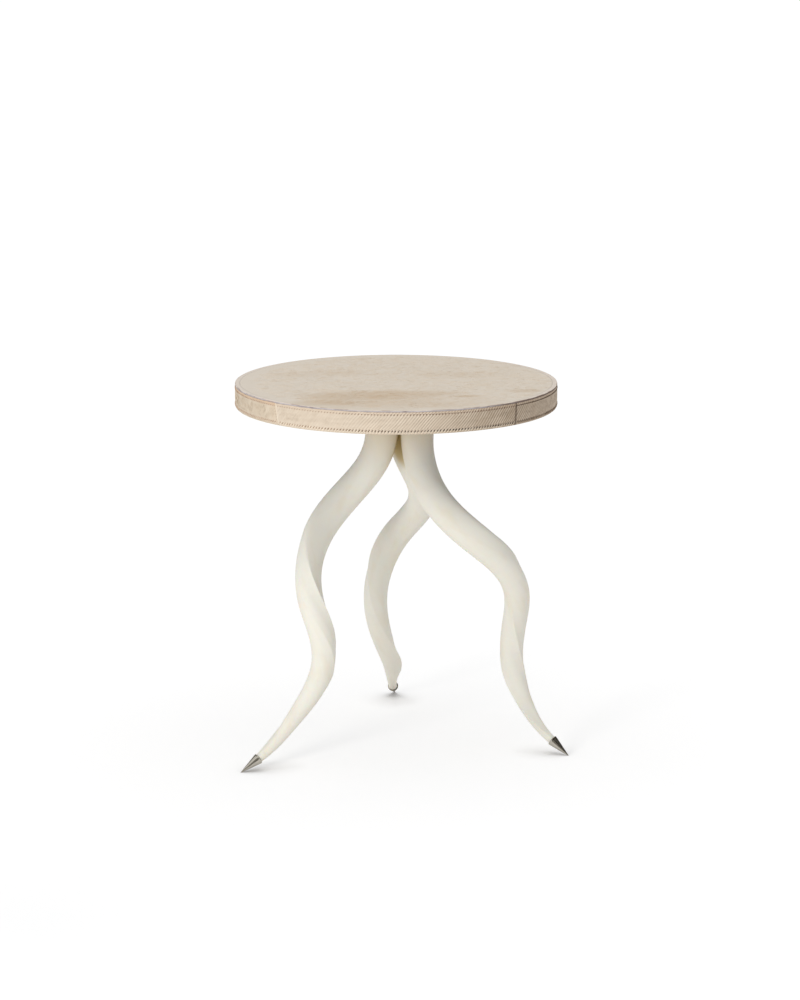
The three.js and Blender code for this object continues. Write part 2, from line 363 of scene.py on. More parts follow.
def topHairFinish():
    values = topHair
    finish = hairFinish("hide_top", values["base"], values["sheen"])
    x, y, _ = finish.parts(finish.place())
    u = (x - axis.x) / mm
    v = (y - axis.y) / mm
    plain = finish.vector(u, v, 0.0)
    heading = math.radians(values["heading"])
    bend = (finish.noise(plain, 1 / values["swirlLength"], 1.0) - 0.5) * values["swirl"]
    along = u * math.cos(heading) + v * math.sin(heading)
    across = v * math.cos(heading) - u * math.sin(heading) + bend
    strand, lock = hairWires(finish, along, across)
    cloud = finish.noise(plain, 1 / values["cloudLength"], 3.0)
    pale = finish.rise(lock * 0.6 + cloud * 0.4, 0.4, 0.66)
    colour = finish.mix(pale * 0.8, values["base"], values["light"])
    colour = finish.mix(finish.rise(strand, 0.55, 0.2) * 0.2, colour, values["shade"])
    tan = 0.0
    for middleX, middleY, halfLength, halfWidth, strength in values["patches"]:
        far = finish.square((u - middleX) / halfLength) + finish.square((v - middleY) / halfWidth)
        patch = finish.rise(far + (cloud - 0.5) * 1.6, 1.7, 0.0) * strength
        tan = finish.math("MAXIMUM", tan, patch)
    colour = finish.mix(tan * (0.6 + lock * 0.5), colour, values["tan"])
    radius = finish.length(u, v)
    rimStart = (topRadius - values["rimWidth"]) / mm
    sideways = finish.rise(finish.math("ABSOLUTE", u / radius), *values["rimSides"])
    rim = finish.rise(radius, rimStart, rimStart + values["rimBlend"])
    colour = finish.mix(rim * sideways * 0.55, colour, values["rim"])
    # Painted shade in the pressed line where the rim starts, at the left and right.
    rimLineShade = finish.line(radius, rimStart, values["rimLineShadeWidth"])
    colour = finish.mix(rimLineShade * sideways * 0.45, colour, values["rimLineShade"])
    # Painted shade in patches, where the hair rounds over the corner to the cut.
    edge = finish.rise(radius, *(topRadius / mm - reach for reach in values["edgeShadeReach"]))
    patchyEdgeShade = finish.rise(finish.noise(plain, 1 / values["edgeShadeLength"]), 0.48, 0.6)
    colour = finish.mix(edge * patchyEdgeShade * 0.7, colour, values["edge"])
    return wearHair(finish, colour, strand, lock, values["relief"])


# The raw cut edge of the top hide: grey-violet leather with loose fibres, browner at the right, with painted
# shadow of the lip along its foot.
cutEdge = {
    "base": paint(194, 188, 189),
    "pale": paint(214, 208, 208),
    "dark": paint(146, 134, 136),
    "brown": paint(112, 94, 82),
    "tan": paint(196, 164, 140),
    "line": paint(120, 98, 98),  # painted shadow of the lip, along its foot
    "brownFrom": (105.0, 190.0),  # to the right of the axis, in millimetres
    "brownSpread": 160.0,
    "lipShadowHeights": (0.2 * mm, -0.6 * mm),  # from the hide's underside
    "fibreScale": 900,
    "runScale": 26,
    "spotScale": 17,
    "bump": 0.4 * mm,
}


def cutEdgeFinish():
    values = cutEdge
    constants = {"Base Color": values["base"], "Roughness": 0.85, "Specular IOR Level": 0.25}
    finish = Finish("hide_cut_edge", constants)
    place = finish.place()
    x, _, z = finish.parts(place)
    fibre = finish.noise(place, values["fibreScale"], 3.0, 0.7)
    run = finish.noise(place, values["runScale"], 3.0, 0.6)
    colour = finish.mix(finish.rise(run, 0.32, 0.5), values["dark"], values["base"])
    colour = finish.mix(finish.rise(run, 0.52, 0.72), colour, values["pale"])
    spot = finish.rise(finish.noise(place, values["spotScale"]), 0.58, 0.7)
    colour = finish.mix(spot * 0.4, colour, values["tan"])
    sideways = (x - axis.x) / mm + (run - 0.5) * values["brownSpread"]
    colour = finish.mix(finish.rise(sideways, *values["brownFrom"]) * 0.95, colour, values["brown"])
    # Painted shadow under the lip, along the foot of the cut edge.
    high, low = values["lipShadowHeights"]
    line = finish.rise(z, hideBottom + high, hideBottom + low) * finish.rise(run, 0.38, 0.5)
    colour = finish.mix(line * 0.8, colour, values["line"])
    colour = finish.mix(finish.rise(fibre, 0.55, 0.3) * 0.35, colour, values["dark"])
    return finish.wear(Base_Color=colour, Normal=finish.bump(fibre, values["bump"], 0.8))


print("hide finishes")

# The four edge strips: rear, left, front and right. A seam's lean is how many degrees it goes round
# from its foot to its top.
band = {
    "inset": 0.5 * mm,
    "thickness": 2 * mm,
    "foldWidth": 24 * mm,
    "cornerRadius": 4 * mm,
    "seamGap": 0.9 * mm,
    "seams": [(41, 0.4), (130, -0.5), (218.8, -1.8), (312.1, 0.6)],
    "bulge": 0.5 * mm,
    "upperRow": 7 * mm,  # below the table's top
    "lowerRow": 6 * mm,  # above the underside
    "grooveDepth": 0.3 * mm,
    "grooveWidth": 1.3 * mm,
    "groovePull": (0.6, 0.4),  # how much of its depth is even, and how much comes and goes with the stitches
    "stitchPitch": 5.3 * mm,
    "puff": (38, 0.18 * mm),  # the length of its soft swells in millimetres, and their height
    "curl": (1.6 * mm, 0.35 * mm),  # how near a seam the hide curls in, and how far
    "steps": 520,
    "rings": {"fold": 6, "corner": 9, "face": 40},
    "sheen": 0.08,
    "relief": 0.5,
    "hairAngle": 50,
    "cloudLength": 45,
    "combPitch": 4.06,  # between the combed lines, in millimetres
    "combSwirl": 1.3,  # how far they bend, in millimetres
    "combSwirlLength": 90,
    "combDepth": 0.16 * mm,
    "strandWaver": 2.4,  # how far single strands leave the combed lines, in radians of their wave
    "rowShadeLines": (1.2, 1.4),  # half the widths of the painted shade along the grooves that the rows of stitches press, in millimetres
    "warmFrom": (1.5, -2.5),  # where the hair above the upper row turns warm, in millimetres below it
    "seamShadeWidth": 0.009,  # of the painted shade beside the seams, in shares of a strip's length
}
bandRadius = topRadius - band["inset"]
cornerHeight = underside + band["cornerRadius"]
upperRowHeight = tableHeight - band["upperRow"]
lowerRowHeight = underside + band["lowerRow"]
bandNames = ["rear", "left", "front", "right"]
# Tones at a strip's start and end, counter-clockwise, and how strong its combed lines are at both ends,
# each with the shares of its length between which one turns into the other.
bandTones = {
    "rear": {
        "start": paint(204, 187, 165),
        "end": paint(208, 192, 170),
        "turn": (0.2, 0.8),
        "comb": (0.5, 0.4),
        "combTurn": (0.2, 0.8),
        "line": paint(120, 98, 80),
        "rowShades": (0.3, 0.3),
        "warm": 0.2,
        "dark": (0.3, 0.3),
    },
    "left": {
        "start": paint(202, 187, 165),
        "end": paint(212, 197, 176),
        "turn": (0.3, 0.8),
        "comb": (0.12, 0.05),
        "combTurn": (0.2, 0.8),
        "line": paint(186, 146, 122),
        "rowShades": (0.2, 0.15),
        "warm": 0.6,
        "dark": (0.3, 0.0),
    },
    # The front darkens towards its right end: partly the hide's own tone, partly painted shade on the side
    # away from the lamp.
    "front": {
        "start": paint(215, 200, 181),
        "end": paint(176, 157, 135),
        "turn": (0.5, 1.0),
        "comb": (0.06, 0.75),
        "combTurn": (0.25, 0.66),
        "line": paint(146, 112, 94),
        "rowShades": (0.1, 0.12),
        "warm": 0.15,
        "dark": (0.0, 0.75),
    },
    # The right strip is darkest at its start, beside the front: partly the hide's own tone, partly painted
    # shade.
    "right": {
        "start": paint(184, 166, 146),
        "end": paint(204, 188, 168),
        "turn": (0.1, 0.9),
        "comb": (0.8, 0.5),
        "combTurn": (0.0, 0.5),
        "line": paint(92, 74, 60),
        "rowShades": (0.85, 0.3),
        "warm": 0.1,
        "dark": (0.5, 0.3),
    },
}
warmTint = paint(216, 184, 152)
# painted shade in the troughs of the combed lines, and the darker tone of single strands
combShade = paint(186, 170, 154)
# pale clumps of hair, and painted highlight on the crests of the combed lines
paleHairAndCrestHighlight = paint(244, 234, 218)
seamShade = paint(120, 104, 90)


# How far the strip's outer face stands out past the band's radius at a height.
def bandOut(height):
    share = np.clip((height - cornerHeight) / (hideBottom - cornerHeight), 0, 1)
    drop = np.clip((cornerHeight - height) / band["cornerRadius"], 0, 1)
    return band["bulge"] * np.sin(math.pi * share) - band["cornerRadius"] * (1 - np.sqrt(1 - drop**2))


def seamAngle(index, height):
    seam, lean = band["seams"][index % 4]
    middle = (hideBottom + underside) / 2
    turn = 360 * (index // 4)
    return np.radians(seam + turn + lean * (height - middle) / (hideBottom - underside))


def onBand(angle, height, out):
    return around(axis, bandRadius + bandOut(height) + out, angle, height)


# How far round its wave a combed line is at a place on the hide, in millimetres, and how strong.
def combWave(index, run, down, share):
    slope = math.radians(band["hairAngle"])
    tones = bandTones[bandNames[index]]
    bend = band["combSwirl"] * waver(run, down, band["combSwirlLength"], "comb", index)
    across = run * math.sin(slope) + down * math.cos(slope) + bend
    strength = np.interp(share, tones["combTurn"], tones["comb"])
    return across * (2 * math.pi / band["combPitch"]), strength


# What a strip's finish reads at each point: its place on the hide, and the combed lines there.
def bandLayers(run, down, share, phase, strength):
    layers = {"lay": columns(run, down, share), "comb": columns(phase, strength, 0)}
    return {name: rows.reshape(-1, 3) for name, rows in layers.items()}


def bandFinish(name):
    tones = bandTones[name]
    finish = hairFinish("hide_band_" + name, tones["start"], band["sheen"])
    run, down, share = finish.parts(finish.layer("lay"))
    phase, strength, _ = finish.parts(finish.layer("comb"))
    plain = finish.vector(run, down, 0.0)
    slope = math.radians(band["hairAngle"])
    along = run * math.cos(slope) - down * math.sin(slope)
    strand, lock = hairWires(finish, along, phase * (band["combPitch"] / 2 / math.pi))
    cloud = finish.noise(plain, 1 / band["cloudLength"], 3.0)
    wave = finish.math("SINE", phase + (strand - 0.5) * band["strandWaver"]) * 0.5 + 0.5
    clumps = lock * 0.5 + cloud * 0.5
    comb = strength * (finish.rise(clumps, 0.36, 0.6) * 0.7 + 0.3)
    tone = finish.mix(finish.rise(share, *tones["turn"]), tones["start"], tones["end"])
    colour = finish.mix(finish.rise(clumps, 0.36, 0.68) * 0.26, tone, paleHairAndCrestHighlight)
    # Painted shade in the troughs of the combed lines and painted highlight on their crests, over their small
    # real relief.
    colour = finish.tint(finish.rise(wave, 0.5, 0.05) * comb, colour, combShade)
    colour = finish.tint(finish.rise(strand, 0.45, 0.25) * 0.16, colour, combShade)
    colour = finish.mix(finish.rise(wave, 0.5, 0.9) * comb * 0.35, colour, paleHairAndCrestHighlight)
    colour = finish.mix(finish.rise(cloud, 0.52, 0.68) * tones["warm"] * 0.35, colour, warmTint)
    upper = (hideBottom - upperRowHeight) / mm
    lower = (hideBottom - lowerRowHeight) / mm
    warm = finish.rise(down, *(upper + away for away in band["warmFrom"])) * tones["warm"]
    colour = finish.mix(warm, colour, warmTint)
    # Painted shade along the grooves that the two rows of stitches press.
    for row, width, strong in zip((upper, lower), band["rowShadeLines"], tones["rowShades"]):
        colour = finish.mix(finish.line(down, row, width) * strong, colour, tones["line"])
    # Painted shade beside the seams, at a strip's start and end.
    near, far = tones["dark"]
    width = band["seamShadeWidth"]
    colour = finish.tint(finish.rise(share, width, 0.0) * near, colour, seamShade)
    colour = finish.tint(finish.rise(share, 1 - width, 1.0) * far, colour, seamShade)
    return wearHair(finish, colour, strand, lock, band["relief"])


# The outline of a strip as (radius, height, how far down the hide): out under the board, round the
# corner, up the face and down again behind it.
def bandOutline():
    inner = bandRadius - band["thickness"]
    foldEnd = bandRadius - band["foldWidth"]
    corner = band["cornerRadius"]
    faceLength = hideBottom - cornerHeight
    arcLength = corner * math.pi / 2
    points = [(foldEnd, boardBottom, 1.0), (foldEnd, underside, 1.0)]
    for share in np.linspace(0, 1, band["rings"]["fold"])[1:]:
        radius = foldEnd + share * (band["foldWidth"] - corner)
        points.append((radius, underside, faceLength + arcLength + bandRadius - corner - radius))
    for angle in np.linspace(0, math.pi / 2, band["rings"]["corner"])[1:]:
        radius = bandRadius - corner + corner * math.sin(angle)
        height = cornerHeight - corner * math.cos(angle)
        points.append((radius, height, faceLength + corner * (math.pi / 2 - angle)))
    for height in np.linspace(cornerHeight, hideBottom, band["rings"]["face"])[1:]:
        points.append((bandRadius, height, hideBottom - height))
    middle = (hideBottom + boardBottom) / 2
    points += [(inner, hideBottom, 0.0), (inner, middle, 0.0), (inner, boardBottom, 0.0)]
    return np.array(points)


def bandMesh(index):
    outline = bandOutline()
    radius, height, down = outline.T
    gap = band["seamGap"] / bandRadius / 2
    first = seamAngle(index, height) + gap
    last = seamAngle(index + 1, height) - gap
    shares = np.linspace(1, 0, band["steps"] + 1)[:, None]
    angle = first + (last - first) * shares
    onFace = (radius > bandRadius - band["cornerRadius"]) & (height < hideBottom)
    run = angle * bandRadius
    evenPull, stitchPull = band["groovePull"]
    pull = evenPull + stitchPull * np.cos(2 * math.pi * run / band["stitchPitch"])
    rows = np.array([upperRowHeight, lowerRowHeight])
    groove = np.exp(-(((height[:, None] - rows) / band["grooveWidth"]) ** 2)).sum(1)
    puffLength, puffHeight = band["puff"]
    puff = waver(run / mm, height / mm * 3, puffLength, "puff", index) * puffHeight
    edge = np.minimum(angle - first, last - angle) * bandRadius
    curlReach, curlDepth = band["curl"]
    curl = -curlDepth * np.exp(-edge / curlReach)
    phase, strength = combWave(index, run / mm, down / mm, shares)
    combed = band["combDepth"] * strength * np.sin(phase)
    out = np.where(onFace, bandOut(np.maximum(height, cornerHeight)) - band["grooveDepth"] * groove * pull, 0)
    out = out + np.where(onFace & (height > cornerHeight), puff + curl + combed, 0)
    points = around(axis, radius + out, angle, height)
    layers = bandLayers(run / mm, down / mm, shares, phase, strength)
    return points.reshape(-1, 3), loftFaces(len(shares), len(outline)), layers


bandFinishes = {name: bandFinish(name) for name in bandNames}
for index, name in enumerate(bandNames):
    node = f"edge_band_{index + 1}"
    makePiece("band_" + name, bandMesh(index), [bandFinishes[name]], [node], sharpAngle=60)
print("edge strips")


# The disc of hide on top: slightly uneven, with a pressed line inside its rim and a raw edge that
# hangs a little over.
topDisc = {
    "sides": 384,
    "ringStep": 5 * mm,
    "rimWidth": 12 * mm,  # with finer rings, for the pressed line
    "rimStep": 0.6 * mm,
    "rimEnd": 1.2 * mm,  # where they stop inside the edge
    "unevenness": 0.3 * mm,
    "unevenLength": 95,
    "unevenFade": 4 * mm,
    "lip": 0.8 * mm,  # how far the raw edge hangs below the hide's own underside
    "lift": 0.2 * mm,  # clear of the board, inside the lip
    "liftReach": 10 * mm,
    "pressDepth": 0.45 * mm,
    "pressWidth": 1.4 * mm,
    "raggedLength": 7,
    "raggedDepth": 0.35 * mm,
    "raggedOut": 0.12 * mm,
    # The rounded upper corner: out from the top's radius, and down from its height.
    "corner": [(0.1 * mm, 1.2 * mm), (-0.1 * mm, 0.45 * mm), (-0.6 * mm, 0.1 * mm)],
}


# How far the hide on top stands off its level at places measured from the axis.
def topUneven(x, y):
    return topDisc["unevenness"] * waver(x / mm, y / mm, topDisc["unevenLength"], "uneven")


def topDiscMesh():
    values = topDisc
    lifted = hideBottom + values["lift"]
    lipBottom = hideBottom - values["lip"]
    lipInside = bandRadius - 0.1 * mm
    rimStart = topRadius - values["rimWidth"]
    inner = np.arange(values["ringStep"], rimStart, values["ringStep"])
    rim = np.arange(rimStart, topRadius - values["rimEnd"], values["rimStep"])
    profile = [(0, lifted), (topRadius - values["liftReach"], lifted), (lipInside, hideBottom)]
    profile += [(bandRadius, lipBottom), (topRadius, lipBottom)]
    profile += [(topRadius + out, tableHeight - down) for out, down in values["corner"]]
    profile += [(radius, tableHeight) for radius in [*rim[::-1], *inner[::-1], 0]]
    points, faces = latheMesh(profile, values["sides"])
    x, y, z = points.T
    radius = np.hypot(x, y)
    onTop = z > tableHeight - 0.2 * mm
    press = np.exp(-(((radius - topRadius + topHair["rimWidth"]) / values["pressWidth"]) ** 2))
    fade = np.clip((topRadius - radius) / values["unevenFade"], 0, 1)
    z += onTop * (topUneven(x, y) * fade - values["pressDepth"] * press)
    angle = np.arctan2(y, x)
    rimPlace = around(origin, topRadius, angle, 0) / mm
    ragged = waver(rimPlace[:, 0], rimPlace[:, 1], values["raggedLength"], "ragged")
    hangs = (z < hideBottom - values["lip"] / 2) & (radius > bandRadius - 1 * mm)
    z += hangs * values["raggedDepth"] * ragged
    proud = (radius > topRadius - 0.3 * mm) * values["raggedOut"] * ragged / np.maximum(radius, mm)
    return columns(x * (1 + proud) + axis.x, y * (1 + proud) + axis.y, z), faces


topFinish = topHairFinish()
edgeFinish = cutEdgeFinish()
disc = topDiscMesh()
faceMiddles = np.array([disc[0][face].mean(0) for face in disc[1]])
faceRadius = np.hypot(faceMiddles[:, 0] - axis.x, faceMiddles[:, 1] - axis.y)
isEdge = (faceRadius > bandRadius - 0.2 * mm) & (faceMiddles[:, 2] < tableHeight - 0.6 * mm)
makePiece("top_hide_disc", disc, [topFinish, edgeFinish], ["top_hide"], 50, isEdge)
print("top hide")

# Locks of hair that lie on the hide, closed tapered blades. Lengths, widths and lifts are in
# millimetres, turns in radians. A lift is how far a lock's middle line stands off the hide, root to tip.
locks = {
    "topCount": 4200,
    "topLength": (11, 19),
    "topWidth": (0.4, 0.8),
    "topTurn": 0.18,  # either way from the hair's heading
    "topSwirl": 0.32,
    "topSwirlLength": 150,
    "topBend": 0.25,  # either way along a lock
    "topLift": (-0.15, 0.02, 0.1, 0.1, 0.0),
    "topTaper": (0.5, 1.0, 0.95, 0.6, 0.08),
    "topClear": 22 * mm,  # from the rim to the nearest root
    "bandCount": 900,
    "bandLength": (7, 12),
    "bandWidth": (0.35, 0.7),
    "bandTurn": 0.16,
    "bandLift": (-0.2, 0.04, 0.14, 0.12, 0.0),
    "seamClear": 1.5 * mm,
    "lowerRowClear": 1.5 * mm,
    "upperRowClear": 1 * mm,
    "bladeTaper": ((0, 0.3, 0.7, 1), (0.5, 1, 0.8, 0.1)),  # places along a blade, and its widths there
    "flat": 0.3,
}


def between(pair, count):
    return chance.uniform(*pair, count)


def eitherWay(most, count):
    return between((-most, most), count)


def topLocks():
    values = locks
    count = values["topCount"]
    radius = (topRadius - values["topClear"]) * np.sqrt(between((0, 1), count))
    x, y, _ = around(origin, radius, between((0, 2 * math.pi), count), 0).T
    heading = math.radians(topHair["heading"]) + eitherWay(values["topTurn"], count)
    heading = heading + values["topSwirl"] * waver(x / mm, y / mm, values["topSwirlLength"], "swirl")
    length = between(values["topLength"], count) * mm
    width = between(values["topWidth"], count) * mm
    stations = np.linspace(0, 1, len(values["topLift"]))
    angle = heading[:, None] + eitherWay(values["topBend"], count)[:, None] * stations
    stepLength = length[:, None] * stations[1]
    pathX = x[:, None] + np.cumsum(np.cos(angle) * stepLength, 1)
    pathY = y[:, None] + np.cumsum(np.sin(angle) * stepLength, 1)
    height = tableHeight + topUneven(pathX, pathY) + np.array(values["topLift"]) * mm
    paths = columns(pathX + axis.x, pathY + axis.y, height)
    up = np.tile([0.0, 0.0, 1.0], (count, 1))
    return tubeMesh(paths, width[:, None] * values["topTaper"], up, 3, values["flat"])


makePiece("top_locks", topLocks(), [topFinish])


# Blades on an edge strip from start points, at a slope, with their place on the hide for its finish.
def bandBlades(index, angle, height, slope, length, width, lift, flat, sides=3):
    stations = np.linspace(0, 1, len(lift))
    reach = length[:, None] * stations
    angles = angle[:, None] + reach * np.cos(slope)[:, None] / bandRadius
    heights = height[:, None] + reach * np.sin(slope)[:, None]
    paths = onBand(angles, heights, np.array(lift) * mm)
    taper = np.interp(stations, *locks["bladeTaper"])
    points, faces = tubeMesh(paths, width[:, None] * taper, around(origin, 1, angle, 0), sides, flat)
    first = seamAngle(index, heights)
    share = (angles - first) / (seamAngle(index + 1, heights) - first)
    run = angles * bandRadius / mm
    down = (hideBottom - heights) / mm
    layers = bandLayers(run, down, share, *combWave(index, run, down, share))
    return points, faces, {layer: np.repeat(rows, sides, 0) for layer, rows in layers.items()}


def bandLocks(index):
    values = locks
    count = values["bandCount"]
    slope = np.radians(band["hairAngle"]) + eitherWay(values["bandTurn"], count)
    length = between(values["bandLength"], count) * mm
    low = lowerRowHeight + values["lowerRowClear"]
    high = upperRowHeight - values["upperRowClear"] - length * np.sin(slope)
    height = low + (high - low) * between((0, 1), count)
    first = seamAngle(index, height) + values["seamClear"] / bandRadius
    last = seamAngle(index + 1, height) - (values["seamClear"] + length) / bandRadius
    angle = first + (last - first) * between((0, 1), count)
    width = between(values["bandWidth"], count) * mm
    return bandBlades(index, angle, height, slope, length, width, values["bandLift"], values["flat"])


for index, name in enumerate(bandNames):
    makePiece("band_locks_" + name, bandLocks(index), [bandFinishes[name]])
print("locks of hair")

# The sewing: two slanted rows round each strip, a short row beside each seam, pale hair that is caught
# between the stitches of the lower row, and the raw edge that shows along two of the seams.
# Lifts, as those of the locks, are in millimetres.
thread = {
    "upper": {"slope": 48, "length": 3.4 * mm, "radius": 0.62 * mm},
    "lower": {"slope": 56, "length": 5.6 * mm, "radius": 0.85 * mm},
    "startClear": 3 * mm,  # from a strip's first seam to its rows, and from its last
    "endClear": 4 * mm,
    "turn": 0.1,  # either way from a stitch's slope, in radians
    "lengths": (0.85, 1.15),
    "shift": 0.3,  # either way along the row, in millimetres
    "lift": (-0.6, 0.15, 0.45, 0.5, 0.45, 0.15, -0.6),
    "flat": 0.8,
    "sides": 6,
    "seamSlope": 50,
    "seamPitch": 4.4 * mm,
    "seamRowEnds": (3 * mm, 2 * mm),  # above the lower row and below the upper one
    "seamOffset": 2.6 * mm,
    "seamLength": 3.2 * mm,
    "seamRadius": 0.4 * mm,
    "seamLift": (-0.7, -0.1, 0.15, 0.2, 0.15, -0.1, -0.7),
    "tufts": 3,  # between two stitches of the lower row
    "tuftLength": (5.5, 7.5),
    "tuftWidth": (0.45, 0.7),
    "tuftTurn": 0.14,
    "tuftShift": 0.5,
    "tuftRoots": (0.6, 2.2),  # above the lower row, in millimetres
    "tuftLift": (-0.1, 0.25, 0.4, 0.4, 0.3),
    "tuftFlat": 0.6,
    "rawEdges": [1, 2],  # the seams that show one
    "rawEdgeWidth": 1.4 * mm,
    "rawEdgeWaver": (9, 0.12),  # its length in millimetres, and its share of the width
    "rawEdgeHeight": 0.7 * mm,
    "rawEdgeSunk": 0.3 * mm,
    "rawEdgeEnds": (1 * mm, 0.5 * mm),  # below the corner's top, and below the hide on top
    "rawEdgeRings": 40,
    "rawEdgeSides": 7,
    "rawEdgeTone": paint(238, 227, 210),
    "fadedTone": paint(226, 206, 184),
    "fadeScale": 60,
    "twistScale": 2600,
    "bump": 0.15 * mm,
    # Each strip's threads at its start and its end, counter-clockwise. They darken towards the front's right
    # end and on the right strip: partly the thread's tone, partly painted shade.
    "tones": {
        "upper": {
            "rear": (paint(118, 94, 76), paint(130, 104, 84)),
            "left": (paint(184, 150, 122), paint(176, 138, 110)),
            "front": (paint(184, 156, 130), paint(108, 74, 56)),
            "right": (paint(92, 72, 58), paint(112, 92, 76)),
        },
        "lower": {
            "rear": (paint(100, 78, 62), paint(118, 94, 78)),
            "left": (paint(196, 168, 146), paint(184, 152, 128)),
            "front": (paint(172, 146, 122), paint(58, 40, 30)),
            "right": (paint(126, 107, 91), paint(160, 141, 123)),
        },
    },
    "tuftTones": {
        "rear": paint(206, 190, 170),
        "left": paint(222, 208, 188),
        "front": paint(240, 227, 208),
        "right": paint(188, 170, 150),
    },
}


def threadFinish(name, start, end, fading):
    finish = Finish(name, {"Base Color": start, "Specular IOR Level": 0.3})
    place = finish.place()
    share = finish.parts(finish.layer("lay"))[2]
    fade = finish.noise(place, thread["fadeScale"])
    twist = finish.noise(place, thread["twistScale"], 1.0)
    shade = finish.mix(finish.rise(share, 0.1, 0.6), start, end)
    shade = finish.mix(finish.rise(fade, 0.45, 0.7) * fading, shade, thread["fadedTone"])
    relief = finish.bump(twist, thread["bump"], 0.7)
    return finish.wear(Base_Color=shade, Roughness=0.6 + twist * 0.2, Normal=relief)


# Even places round a strip, clear of its seams.
def stitchAngles(index, height):
    first = seamAngle(index, height) + thread["startClear"] / bandRadius
    last = seamAngle(index + 1, height) - thread["endClear"] / bandRadius
    count = int((last - first) * bandRadius / band["stitchPitch"])
    return first + (np.arange(count) + 0.5) * (last - first) / count


def stitchRow(index, height, row):
    angle = stitchAngles(index, height)
    count = len(angle)
    slope = np.radians(row["slope"]) + eitherWay(thread["turn"], count)
    length = row["length"] * between(thread["lengths"], count)
    start = height - length / 2 * np.sin(slope)
    shift = eitherWay(thread["shift"], count) * mm - length / 2 * np.cos(slope)
    return angle + shift / bandRadius, start, slope, length, np.full(count, row["radius"]), thread["lift"]


def seamStitches(index):
    above, below = thread["seamRowEnds"]
    heights = np.arange(lowerRowHeight + above, upperRowHeight - below, thread["seamPitch"])
    angle = seamAngle(index, heights) - (thread["seamOffset"] + thread["seamLength"] / 2) / bandRadius
    alike = (math.radians(thread["seamSlope"]), thread["seamLength"], thread["seamRadius"])
    return angle, heights, *(np.full(len(heights), value) for value in alike), thread["seamLift"]


def tufts(index):
    places = stitchAngles(index, lowerRowHeight) + band["stitchPitch"] / 2 / bandRadius
    angle = np.repeat(places, thread["tufts"])
    count = len(angle)
    angle = angle + eitherWay(thread["tuftShift"], count) * mm / bandRadius
    height = lowerRowHeight + between(thread["tuftRoots"], count) * mm
    slope = np.radians(180 + thread["lower"]["slope"]) + eitherWay(thread["tuftTurn"], count)
    length = between(thread["tuftLength"], count) * mm
    width = between(thread["tuftWidth"], count) * mm
    return angle, height, slope, length, width, thread["tuftLift"]


# A thin rounded strip that stands along a seam.
def rawEdge(index):
    foot, head = thread["rawEdgeEnds"]
    heights = np.linspace(cornerHeight - foot, hideBottom - head, thread["rawEdgeRings"])
    turns = np.linspace(0, math.pi, thread["rawEdgeSides"])
    waverLength, waverShare = thread["rawEdgeWaver"]
    width = thread["rawEdgeWidth"] * (1 + waverShare * waver(heights / mm, 0, waverLength, "rawEdge", index))
    across = (1 - np.cos(turns)) / 2 * width[:, None]
    out = np.sin(turns) * thread["rawEdgeHeight"] - thread["rawEdgeSunk"]
    start = seamAngle(index, heights)[:, None]
    ring = onBand(start + across / bandRadius, heights[:, None], out)
    return ring.reshape(-1, 3), loftFaces(len(heights), len(turns))


def sew(name, index, stitches, finish):
    makePiece(name, bandBlades(index, *stitches, thread["flat"], thread["sides"]), [finish])


for index, name in enumerate(bandNames):
    for row, height in (("upper", upperRowHeight), ("lower", lowerRowHeight)):
        finish = threadFinish(f"thread_{name}_{row}", *thread["tones"][row][name], 0.25)
        sew(f"stitches_{row}_{name}", index, stitchRow(index, height, thread[row]), finish)
    sew(f"stitches_seam_{index + 1}", index, seamStitches(index), finish)  # in the lower row's thread
    tone = thread["tuftTones"][name]
    blades = bandBlades(index, *tufts(index), thread["tuftFlat"])
    makePiece(f"tufts_{name}", blades, [threadFinish("tuft_" + name, tone, tone, 0.2)])
rawEdgeFinish = threadFinish("hide_raw_edge", thread["rawEdgeTone"], thread["rawEdgeTone"], 0.3)
for index in thread["rawEdges"]:
    makePiece(f"raw_edge_{index + 1}", rawEdge(index), [rawEdgeFinish])
print("sewing")

# One horn: the spline, section and keel are those of the CAD, with finer rings and a crisper keel lower down.
horn = {
    "rootRadius": 27.5 * mm,
    "reach": 250 * mm,
    "sway": 50 * mm,
    "keelSharpness": 6,
    "keelStart": 148,
    "keelTurns": -1.26,
    "stretchPower": 4,
    "rings": 300,
    "sides": 72,
    "creaseFrom": (0.38, 0.52),  # where the flanks go from round to flat, in shares of the run
    "legs": {
        "rear": {"turn": -1, "lean": -0.102, "stretch": 0.074},
        "left": {"turn": 0.5, "lean": 0.043, "stretch": 0.036},
        "right": {"turn": -0.5, "lean": 0.072, "stretch": -0.113},
    },
    # A lower ridge on two of the horns: its share of the run and its degrees from the keel at its start and
    # end, and its height over the girth.
    "folds": {
        "left": (0.63, 0.75, 72, 60, 0.08),
        "right": (0.6, 0.8, -147, -141, 0.19),
    },
    "foldRise": (-0.06, 0.04),  # where a fold comes up, from its start, in shares of the run
    "foldFall": (0, 0.08),  # and where it goes down, from its end
    # Reach, sway, girth and the keel's height over the girth, at even steps down the horn.
    "shares": np.array([
        (0, 0, 1, 0),
        (0, 0, 1.05, 0.1),
        (-0.01, -0.08, 1, 0.1),
        (0.04, -0.32, 0.93, 0),
        (0.2, -0.86, 0.95, 0.05),
        (0.43, -0.82, 0.9, 0.25),
        (0.63, -0.04, 0.79, 0.3),
        (0.69, 0.56, 0.8, 0.25),
        (0.64, 0.92, 0.75, 0.15),
        (0.61, 0.93, 0.73, 0),
        (0.67, 0.67, 0.64, 0.11),
        (0.82, 0.38, 0.46, 0.69),
        (0.94, 0.39, 0.3, 0.7),
        (1.05, 0.32, 0.25, 0.1),
    ]),
}
